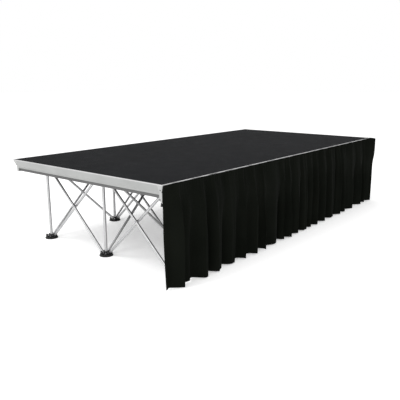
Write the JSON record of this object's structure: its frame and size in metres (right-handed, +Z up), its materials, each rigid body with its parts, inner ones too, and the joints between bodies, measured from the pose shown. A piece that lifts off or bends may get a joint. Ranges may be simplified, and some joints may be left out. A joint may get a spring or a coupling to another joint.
{
  "type": "stage riser platform",
  "caption": "Low rectangular stage deck with a black anti-slip top and aluminium edge, on folding risers of crossed tubes, with a pleated black skirt along one side.",
  "frame": {"origin": "on the floor, under the middle of the object's box with its skirt; the deck's own centre is 21 mm to -X and 21 mm to +Y of it", "axes": "+X along the deck's length, towards the end that the skirt wraps round; -Y towards the skirted front; +Z up"},
  "size_m": [2.042, 1.042, 0.42],
  "materials": {
    "deck_surface": "black anti-slip film on plywood",
    "edge_rail": "satin extruded",
    "corner_casting": "cast, brushed",
    "riser_tube": "satin drawn tube",
    "hub_moulding": "moulded black nylon",
    "skirt_fabric": "pleated polyester",
    "hook_tape": "woven hook-and-loop tape"
  },
  "bodies": {
    "foot_left_front": {"foot_leg_left_front": "hub_moulding"},
    "hub_left_front": {"top_hub_left_front": "hub_moulding"},
    "foot_left_centre": {"foot_leg_left_centre": "hub_moulding"},
    "hub_left_centre": {"top_hub_left_centre": "hub_moulding"},
    "foot_left_rear": {"foot_leg_left_rear": "hub_moulding"},
    "hub_left_rear": {"top_hub_left_rear": "hub_moulding"},
    "foot_middle_front": {"foot_leg_middle_front": "hub_moulding"},
    "hub_middle_front": {"top_hub_middle_front": "hub_moulding"},
    "foot_middle_centre": {"foot_leg_middle_centre": "hub_moulding"},
    "hub_middle_centre": {"top_hub_middle_centre": "hub_moulding"},
    "foot_middle_rear": {"foot_leg_middle_rear": "hub_moulding"},
    "hub_middle_rear": {"top_hub_middle_rear": "hub_moulding"},
    "foot_right_front": {"foot_leg_right_front": "hub_moulding"},
    "hub_right_front": {"top_hub_right_front": "hub_moulding"},
    "foot_right_centre": {"foot_leg_right_centre": "hub_moulding"},
    "hub_right_centre": {"top_hub_right_centre": "hub_moulding"},
    "foot_right_rear": {"foot_leg_right_rear": "hub_moulding"},
    "hub_right_rear": {"top_hub_right_rear": "hub_moulding"},
    "length_tube_a_front_left_out": {"length_tube_a_front_left_out": "riser_tube"},
    "length_tube_a_front_left_in": {"length_tube_a_front_left_in": "riser_tube"},
    "length_tube_a_front_right_out": {"length_tube_a_front_right_out": "riser_tube"},
    "length_tube_a_front_right_in": {"length_tube_a_front_right_in": "riser_tube"},
    "length_tube_a_centre_left_out": {"length_tube_a_centre_left_out": "riser_tube"},
    "length_tube_a_centre_left_in": {"length_tube_a_centre_left_in": "riser_tube"},
    "length_tube_a_centre_right_out": {"length_tube_a_centre_right_out": "riser_tube"},
    "length_tube_a_centre_right_in": {"length_tube_a_centre_right_in": "riser_tube"},
    "length_tube_a_rear_left_out": {"length_tube_a_rear_left_out": "riser_tube"},
    "length_tube_a_rear_left_in": {"length_tube_a_rear_left_in": "riser_tube"},
    "length_tube_a_rear_right_out": {"length_tube_a_rear_right_out": "riser_tube"},
    "length_tube_a_rear_right_in": {"length_tube_a_rear_right_in": "riser_tube"},
    "length_tube_b_front_left_out": {"length_tube_b_front_left_out": "riser_tube"},
    "length_tube_b_front_left_in": {"length_tube_b_front_left_in": "riser_tube"},
    "length_tube_b_front_right_out": {"length_tube_b_front_right_out": "riser_tube"},
    "length_tube_b_front_right_in": {"length_tube_b_front_right_in": "riser_tube"},
    "length_tube_b_centre_left_out": {"length_tube_b_centre_left_out": "riser_tube"},
    "length_tube_b_centre_left_in": {"length_tube_b_centre_left_in": "riser_tube"},
    "length_tube_b_centre_right_out": {"length_tube_b_centre_right_out": "riser_tube"},
    "length_tube_b_centre_right_in": {"length_tube_b_centre_right_in": "riser_tube"},
    "length_tube_b_rear_left_out": {"length_tube_b_rear_left_out": "riser_tube"},
    "length_tube_b_rear_left_in": {"length_tube_b_rear_left_in": "riser_tube"},
    "length_tube_b_rear_right_out": {"length_tube_b_rear_right_out": "riser_tube"},
    "length_tube_b_rear_right_in": {"length_tube_b_rear_right_in": "riser_tube"},
    "depth_tube_left_front_out": {"depth_tube_left_front_out": "riser_tube"},
    "depth_tube_left_front_in": {"depth_tube_left_front_in": "riser_tube"},
    "depth_tube_left_rear_out": {"depth_tube_left_rear_out": "riser_tube"},
    "depth_tube_left_rear_in": {"depth_tube_left_rear_in": "riser_tube"},
    "depth_tube_middle_front_out": {"depth_tube_middle_front_out": "riser_tube"},
    "depth_tube_middle_front_in": {"depth_tube_middle_front_in": "riser_tube"},
    "depth_tube_middle_rear_out": {"depth_tube_middle_rear_out": "riser_tube"},
    "depth_tube_middle_rear_in": {"depth_tube_middle_rear_in": "riser_tube"},
    "depth_tube_right_front_out": {"depth_tube_right_front_out": "riser_tube"},
    "depth_tube_right_front_in": {"depth_tube_right_front_in": "riser_tube"},
    "depth_tube_right_rear_out": {"depth_tube_right_rear_out": "riser_tube"},
    "depth_tube_right_rear_in": {"depth_tube_right_rear_in": "riser_tube"},
    "deck": {"deck_board": "deck_surface", "edge_rails": "edge_rail", "corner_connectors": "corner_casting", "cross_members": "edge_rail"},
    "skirt": {"stage_skirt": "skirt_fabric", "skirt_header_tape": "hook_tape"}
  },
  "joints": [
    {"name": "deck_lift", "type": "slide", "parent": "foot_middle_centre", "child": "deck", "axis": [0, 0, 1], "range_m": [0, 0.32]},
    {"name": "skirt_pull", "type": "slide", "parent": "deck", "child": "skirt", "axis": [0, -1, 0], "range_m": [0, 0.25]},
    {"name": "length_tube_a_centre_left_out_pivot", "type": "hinge", "parent": "foot_middle_centre", "child": "length_tube_a_centre_left_out", "pos_m": [-0.469, 0.014, 0.0155], "axis": [0, 1, 0], "range_deg": [0, 41]},
    {"name": "length_tube_a_centre_left_in_crossing", "type": "hinge", "parent": "length_tube_a_centre_left_out", "child": "length_tube_a_centre_left_in", "pos_m": [-0.6665, 0.014, 0.20175], "axis": [0, -1, 0], "range_deg": [0, 81]},
    {"name": "foot_left_centre_pivot", "type": "hinge", "parent": "length_tube_a_centre_left_in", "child": "foot_left_centre", "pos_m": [-0.864, 0.028, 0.0155], "axis": [0, 1, 0], "range_deg": [0, 41]},
    {"name": "hub_left_centre_pivot", "type": "hinge", "parent": "length_tube_a_centre_left_out", "child": "hub_left_centre", "pos_m": [-0.864, 0.014, 0.388], "axis": [0, -1, 0], "range_deg": [0, 41]},
    {"name": "hub_middle_centre_pivot", "type": "hinge", "parent": "length_tube_a_centre_left_in", "child": "hub_middle_centre", "pos_m": [-0.469, 0.028, 0.388], "axis": [0, 1, 0], "range_deg": [0, 41]},
    {"name": "length_tube_a_centre_right_out_pivot", "type": "hinge", "parent": "foot_middle_centre", "child": "length_tube_a_centre_right_out", "pos_m": [-0.433, 0.028, 0.0155], "axis": [0, -1, 0], "range_deg": [0, 41]},
    {"name": "length_tube_a_centre_right_in_crossing", "type": "hinge", "parent": "length_tube_a_centre_right_out", "child": "length_tube_a_centre_right_in", "pos_m": [-0.2355, 0.028, 0.20175], "axis": [0, 1, 0], "range_deg": [0, 81]},
    {"name": "foot_right_centre_pivot", "type": "hinge", "parent": "length_tube_a_centre_right_in", "child": "foot_right_centre", "pos_m": [-0.038, 0.014, 0.0155], "axis": [0, -1, 0], "range_deg": [0, 41]},
    {"name": "hub_right_centre_pivot", "type": "hinge", "parent": "length_tube_a_centre_right_out", "child": "hub_right_centre", "pos_m": [-0.038, 0.028, 0.388], "axis": [0, 1, 0], "range_deg": [0, 41]},
    {"name": "depth_tube_middle_front_out_pivot", "type": "hinge", "parent": "foot_middle_centre", "child": "depth_tube_middle_front_out", "pos_m": [-0.444, 0.003, 0.0155], "axis": [-1, 0, 0], "range_deg": [0, 41]},
    {"name": "depth_tube_middle_front_in_crossing", "type": "hinge", "parent": "depth_tube_middle_front_out", "child": "depth_tube_middle_front_in", "pos_m": [-0.444, -0.1945, 0.20175], "axis": [1, 0, 0], "range_deg": [0, 81]},
    {"name": "foot_middle_front_pivot", "type": "hinge", "parent": "depth_tube_middle_front_in", "child": "foot_middle_front", "pos_m": [-0.458, -0.392, 0.0155], "axis": [-1, 0, 0], "range_deg": [0, 41]},
    {"name": "hub_middle_front_pivot", "type": "hinge", "parent": "depth_tube_middle_front_out", "child": "hub_middle_front", "pos_m": [-0.444, -0.392, 0.388], "axis": [1, 0, 0], "range_deg": [0, 41]},
    {"name": "depth_tube_middle_rear_out_pivot", "type": "hinge", "parent": "foot_middle_centre", "child": "depth_tube_middle_rear_out", "pos_m": [-0.458, 0.039, 0.0155], "axis": [1, 0, 0], "range_deg": [0, 41]},
    {"name": "depth_tube_middle_rear_in_crossing", "type": "hinge", "parent": "depth_tube_middle_rear_out", "child": "depth_tube_middle_rear_in", "pos_m": [-0.458, 0.2365, 0.20175], "axis": [-1, 0, 0], "range_deg": [0, 81]},
    {"name": "foot_middle_rear_pivot", "type": "hinge", "parent": "depth_tube_middle_rear_in", "child": "foot_middle_rear", "pos_m": [-0.444, 0.434, 0.0155], "axis": [1, 0, 0], "range_deg": [0, 41]},
    {"name": "hub_middle_rear_pivot", "type": "hinge", "parent": "depth_tube_middle_rear_out", "child": "hub_middle_rear", "pos_m": [-0.458, 0.434, 0.388], "axis": [-1, 0, 0], "range_deg": [0, 41]},
    {"name": "depth_tube_left_front_out_pivot", "type": "hinge", "parent": "foot_left_centre", "child": "depth_tube_left_front_out", "pos_m": [-0.875, 0.003, 0.0155], "axis": [-1, 0, 0], "range_deg": [0, 41]},
    {"name": "depth_tube_left_front_in_crossing", "type": "hinge", "parent": "depth_tube_left_front_out", "child": "depth_tube_left_front_in", "pos_m": [-0.875, -0.1945, 0.20175], "axis": [1, 0, 0], "range_deg": [0, 81]},
    {"name": "foot_left_front_pivot", "type": "hinge", "parent": "depth_tube_left_front_in", "child": "foot_left_front", "pos_m": [-0.889, -0.392, 0.0155], "axis": [-1, 0, 0], "range_deg": [0, 41]},
    {"name": "hub_left_front_pivot", "type": "hinge", "parent": "depth_tube_left_front_out", "child": "hub_left_front", "pos_m": [-0.875, -0.392, 0.388], "axis": [1, 0, 0], "range_deg": [0, 41]},
    {"name": "depth_tube_left_rear_out_pivot", "type": "hinge", "parent": "foot_left_centre", "child": "depth_tube_left_rear_out", "pos_m": [-0.889, 0.039, 0.0155], "axis": [1, 0, 0], "range_deg": [0, 41]},
    {"name": "depth_tube_left_rear_in_crossing", "type": "hinge", "parent": "depth_tube_left_rear_out", "child": "depth_tube_left_rear_in", "pos_m": [-0.889, 0.2365, 0.20175], "axis": [-1, 0, 0], "range_deg": [0, 81]},
    {"name": "foot_left_rear_pivot", "type": "hinge", "parent": "depth_tube_left_rear_in", "child": "foot_left_rear", "pos_m": [-0.875, 0.434, 0.0155], "axis": [1, 0, 0], "range_deg": [0, 41]},
    {"name": "hub_left_rear_pivot", "type": "hinge", "parent": "depth_tube_left_rear_out", "child": "hub_left_rear", "pos_m": [-0.889, 0.434, 0.388], "axis": [-1, 0, 0], "range_deg": [0, 41]},
    {"name": "depth_tube_right_front_out_pivot", "type": "hinge", "parent": "foot_right_centre", "child": "depth_tube_right_front_out", "pos_m": [-0.013, 0.003, 0.0155], "axis": [-1, 0, 0], "range_deg": [0, 41]},
    {"name": "depth_tube_right_front_in_crossing", "type": "hinge", "parent": "depth_tube_right_front_out", "child": "depth_tube_right_front_in", "pos_m": [-0.013, -0.1945, 0.20175], "axis": [1, 0, 0], "range_deg": [0, 81]},
    {"name": "foot_right_front_pivot", "type": "hinge", "parent": "depth_tube_right_front_in", "child": "foot_right_front", "pos_m": [-0.027, -0.392, 0.0155], "axis": [-1, 0, 0], "range_deg": [0, 41]},
    {"name": "hub_right_front_pivot", "type": "hinge", "parent": "depth_tube_right_front_out", "child": "hub_right_front", "pos_m": [-0.013, -0.392, 0.388], "axis": [1, 0, 0], "range_deg": [0, 41]},
    {"name": "depth_tube_right_rear_out_pivot", "type": "hinge", "parent": "foot_right_centre", "child": "depth_tube_right_rear_out", "pos_m": [-0.027, 0.039, 0.0155], "axis": [1, 0, 0], "range_deg": [0, 41]},
    {"name": "depth_tube_right_rear_in_crossing", "type": "hinge", "parent": "depth_tube_right_rear_out", "child": "depth_tube_right_rear_in", "pos_m": [-0.027, 0.2365, 0.20175], "axis": [-1, 0, 0], "range_deg": [0, 81]},
    {"name": "foot_right_rear_pivot", "type": "hinge", "parent": "depth_tube_right_rear_in", "child": "foot_right_rear", "pos_m": [-0.013, 0.434, 0.0155], "axis": [1, 0, 0], "range_deg": [0, 41]},
    {"name": "hub_right_rear_pivot", "type": "hinge", "parent": "depth_tube_right_rear_out", "child": "hub_right_rear", "pos_m": [-0.027, 0.434, 0.388], "axis": [-1, 0, 0], "range_deg": [0, 41]},
    {"name": "length_tube_a_front_left_out_pivot", "type": "hinge", "parent": "foot_middle_front", "child": "length_tube_a_front_left_out", "pos_m": [-0.469, -0.417, 0.0155], "axis": [0, 1, 0], "range_deg": [0, 41]},
    {"name": "length_tube_a_front_left_in_crossing", "type": "hinge", "parent": "length_tube_a_front_left_out", "child": "length_tube_a_front_left_in", "pos_m": [-0.6665, -0.417, 0.20175], "axis": [0, -1, 0], "range_deg": [0, 81]},
    {"name": "length_tube_a_front_right_out_pivot", "type": "hinge", "parent": "foot_middle_front", "child": "length_tube_a_front_right_out", "pos_m": [-0.433, -0.403, 0.0155], "axis": [0, -1, 0], "range_deg": [0, 41]},
    {"name": "length_tube_a_front_right_in_crossing", "type": "hinge", "parent": "length_tube_a_front_right_out", "child": "length_tube_a_front_right_in", "pos_m": [-0.2355, -0.403, 0.20175], "axis": [0, 1, 0], "range_deg": [0, 81]},
    {"name": "length_tube_a_rear_left_out_pivot", "type": "hinge", "parent": "foot_middle_rear", "child": "length_tube_a_rear_left_out", "pos_m": [-0.469, 0.445, 0.0155], "axis": [0, 1, 0], "range_deg": [0, 41]},
    {"name": "length_tube_a_rear_left_in_crossing", "type": "hinge", "parent": "length_tube_a_rear_left_out", "child": "length_tube_a_rear_left_in", "pos_m": [-0.6665, 0.445, 0.20175], "axis": [0, -1, 0], "range_deg": [0, 81]},
    {"name": "length_tube_a_rear_right_out_pivot", "type": "hinge", "parent": "foot_middle_rear", "child": "length_tube_a_rear_right_out", "pos_m": [-0.433, 0.459, 0.0155], "axis": [0, -1, 0], "range_deg": [0, 41]},
    {"name": "length_tube_a_rear_right_in_crossing", "type": "hinge", "parent": "length_tube_a_rear_right_out", "child": "length_tube_a_rear_right_in", "pos_m": [-0.2355, 0.459, 0.20175], "axis": [0, 1, 0], "range_deg": [0, 81]},
    {"name": "length_tube_b_front_left_out_pivot", "type": "hinge", "parent": "foot_middle_front", "child": "length_tube_b_front_left_out", "pos_m": [0.461, -0.417, 0.0155], "axis": [0, 1, 0], "range_deg": [0, 41]},
    {"name": "length_tube_b_front_left_in_crossing", "type": "hinge", "parent": "length_tube_b_front_left_out", "child": "length_tube_b_front_left_in", "pos_m": [0.2635, -0.417, 0.20175], "axis": [0, -1, 0], "range_deg": [0, 81]},
    {"name": "length_tube_b_front_right_out_pivot", "type": "hinge", "parent": "foot_middle_front", "child": "length_tube_b_front_right_out", "pos_m": [0.497, -0.403, 0.0155], "axis": [0, -1, 0], "range_deg": [0, 41]},
    {"name": "length_tube_b_front_right_in_crossing", "type": "hinge", "parent": "length_tube_b_front_right_out", "child": "length_tube_b_front_right_in", "pos_m": [0.6945, -0.403, 0.20175], "axis": [0, 1, 0], "range_deg": [0, 81]},
    {"name": "length_tube_b_centre_left_out_pivot", "type": "hinge", "parent": "foot_middle_centre", "child": "length_tube_b_centre_left_out", "pos_m": [0.461, 0.014, 0.0155], "axis": [0, 1, 0], "range_deg": [0, 41]},
    {"name": "length_tube_b_centre_left_in_crossing", "type": "hinge", "parent": "length_tube_b_centre_left_out", "child": "length_tube_b_centre_left_in", "pos_m": [0.2635, 0.014, 0.20175], "axis": [0, -1, 0], "range_deg": [0, 81]},
    {"name": "length_tube_b_centre_right_out_pivot", "type": "hinge", "parent": "foot_middle_centre", "child": "length_tube_b_centre_right_out", "pos_m": [0.497, 0.028, 0.0155], "axis": [0, -1, 0], "range_deg": [0, 41]},
    {"name": "length_tube_b_centre_right_in_crossing", "type": "hinge", "parent": "length_tube_b_centre_right_out", "child": "length_tube_b_centre_right_in", "pos_m": [0.6945, 0.028, 0.20175], "axis": [0, 1, 0], "range_deg": [0, 81]},
    {"name": "length_tube_b_rear_left_out_pivot", "type": "hinge", "parent": "foot_middle_rear", "child": "length_tube_b_rear_left_out", "pos_m": [0.461, 0.445, 0.0155], "axis": [0, 1, 0], "range_deg": [0, 41]},
    {"name": "length_tube_b_rear_left_in_crossing", "type": "hinge", "parent": "length_tube_b_rear_left_out", "child": "length_tube_b_rear_left_in", "pos_m": [0.2635, 0.445, 0.20175], "axis": [0, -1, 0], "range_deg": [0, 81]},
    {"name": "length_tube_b_rear_right_out_pivot", "type": "hinge", "parent": "foot_middle_rear", "child": "length_tube_b_rear_right_out", "pos_m": [0.497, 0.459, 0.0155], "axis": [0, -1, 0], "range_deg": [0, 41]},
    {"name": "length_tube_b_rear_right_in_crossing", "type": "hinge", "parent": "length_tube_b_rear_right_out", "child": "length_tube_b_rear_right_in", "pos_m": [0.6945, 0.459, 0.20175], "axis": [0, 1, 0], "range_deg": [0, 81]}
  ],
  "couplings": [
    {"joint": "length_tube_a_centre_left_out_pivot", "follows": "deck_lift", "rad_per_m": 2.1817},
    {"joint": "length_tube_a_centre_left_in_crossing", "follows": "deck_lift", "rad_per_m": 4.3633},
    {"joint": "foot_left_centre_pivot", "follows": "deck_lift", "rad_per_m": 2.1817},
    {"joint": "hub_left_centre_pivot", "follows": "deck_lift", "rad_per_m": 2.1817},
    {"joint": "hub_middle_centre_pivot", "follows": "deck_lift", "rad_per_m": 2.1817},
    {"joint": "length_tube_a_centre_right_out_pivot", "follows": "deck_lift", "rad_per_m": 2.1817},
    {"joint": "length_tube_a_centre_right_in_crossing", "follows": "deck_lift", "rad_per_m": 4.3633},
    {"joint": "foot_right_centre_pivot", "follows": "deck_lift", "rad_per_m": 2.1817},
    {"joint": "hub_right_centre_pivot", "follows": "deck_lift", "rad_per_m": 2.1817},
    {"joint": "depth_tube_middle_front_out_pivot", "follows": "deck_lift", "rad_per_m": 2.1817},
    {"joint": "depth_tube_middle_front_in_crossing", "follows": "deck_lift", "rad_per_m": 4.3633},
    {"joint": "foot_middle_front_pivot", "follows": "deck_lift", "rad_per_m": 2.1817},
    {"joint": "hub_middle_front_pivot", "follows": "deck_lift", "rad_per_m": 2.1817},
    {"joint": "depth_tube_middle_rear_out_pivot", "follows": "deck_lift", "rad_per_m": 2.1817},
    {"joint": "depth_tube_middle_rear_in_crossing", "follows": "deck_lift", "rad_per_m": 4.3633},
    {"joint": "foot_middle_rear_pivot", "follows": "deck_lift", "rad_per_m": 2.1817},
    {"joint": "hub_middle_rear_pivot", "follows": "deck_lift", "rad_per_m": 2.1817},
    {"joint": "depth_tube_left_front_out_pivot", "follows": "deck_lift", "rad_per_m": 2.1817},
    {"joint": "depth_tube_left_front_in_crossing", "follows": "deck_lift", "rad_per_m": 4.3633},
    {"joint": "foot_left_front_pivot", "follows": "deck_lift", "rad_per_m": 2.1817},
    {"joint": "hub_left_front_pivot", "follows": "deck_lift", "rad_per_m": 2.1817},
    {"joint": "depth_tube_left_rear_out_pivot", "follows": "deck_lift", "rad_per_m": 2.1817},
    {"joint": "depth_tube_left_rear_in_crossing", "follows": "deck_lift", "rad_per_m": 4.3633},
    {"joint": "foot_left_rear_pivot", "follows": "deck_lift", "rad_per_m": 2.1817},
    {"joint": "hub_left_rear_pivot", "follows": "deck_lift", "rad_per_m": 2.1817},
    {"joint": "depth_tube_right_front_out_pivot", "follows": "deck_lift", "rad_per_m": 2.1817},
    {"joint": "depth_tube_right_front_in_crossing", "follows": "deck_lift", "rad_per_m": 4.3633},
    {"joint": "foot_right_front_pivot", "follows": "deck_lift", "rad_per_m": 2.1817},
    {"joint": "hub_right_front_pivot", "follows": "deck_lift", "rad_per_m": 2.1817},
    {"joint": "depth_tube_right_rear_out_pivot", "follows": "deck_lift", "rad_per_m": 2.1817},
    {"joint": "depth_tube_right_rear_in_crossing", "follows": "deck_lift", "rad_per_m": 4.3633},
    {"joint": "foot_right_rear_pivot", "follows": "deck_lift", "rad_per_m": 2.1817},
    {"joint": "hub_right_rear_pivot", "follows": "deck_lift", "rad_per_m": 2.1817},
    {"joint": "length_tube_a_front_left_out_pivot", "follows": "deck_lift", "rad_per_m": 2.1817},
    {"joint": "length_tube_a_front_left_in_crossing", "follows": "deck_lift", "rad_per_m": 4.3633},
    {"joint": "length_tube_a_front_right_out_pivot", "follows": "deck_lift", "rad_per_m": 2.1817},
    {"joint": "length_tube_a_front_right_in_crossing", "follows": "deck_lift", "rad_per_m": 4.3633},
    {"joint": "length_tube_a_rear_left_out_pivot", "follows": "deck_lift", "rad_per_m": 2.1817},
    {"joint": "length_tube_a_rear_left_in_crossing", "follows": "deck_lift", "rad_per_m": 4.3633},
    {"joint": "length_tube_a_rear_right_out_pivot", "follows": "deck_lift", "rad_per_m": 2.1817},
    {"joint": "length_tube_a_rear_right_in_crossing", "follows": "deck_lift", "rad_per_m": 4.3633},
    {"joint": "length_tube_b_front_left_out_pivot", "follows": "deck_lift", "rad_per_m": 2.1817},
    {"joint": "length_tube_b_front_left_in_crossing", "follows": "deck_lift", "rad_per_m": 4.3633},
    {"joint": "length_tube_b_front_right_out_pivot", "follows": "deck_lift", "rad_per_m": 2.1817},
    {"joint": "length_tube_b_front_right_in_crossing", "follows": "deck_lift", "rad_per_m": 4.3633},
    {"joint": "length_tube_b_centre_left_out_pivot", "follows": "deck_lift", "rad_per_m": 2.1817},
    {"joint": "length_tube_b_centre_left_in_crossing", "follows": "deck_lift", "rad_per_m": 4.3633},
    {"joint": "length_tube_b_centre_right_out_pivot", "follows": "deck_lift", "rad_per_m": 2.1817},
    {"joint": "length_tube_b_centre_right_in_crossing", "follows": "deck_lift", "rad_per_m": 4.3633},
    {"joint": "length_tube_b_rear_left_out_pivot", "follows": "deck_lift", "rad_per_m": 2.1817},
    {"joint": "length_tube_b_rear_left_in_crossing", "follows": "deck_lift", "rad_per_m": 4.3633},
    {"joint": "length_tube_b_rear_right_out_pivot", "follows": "deck_lift", "rad_per_m": 2.1817},
    {"joint": "length_tube_b_rear_right_in_crossing", "follows": "deck_lift", "rad_per_m": 4.3633}
  ]
}
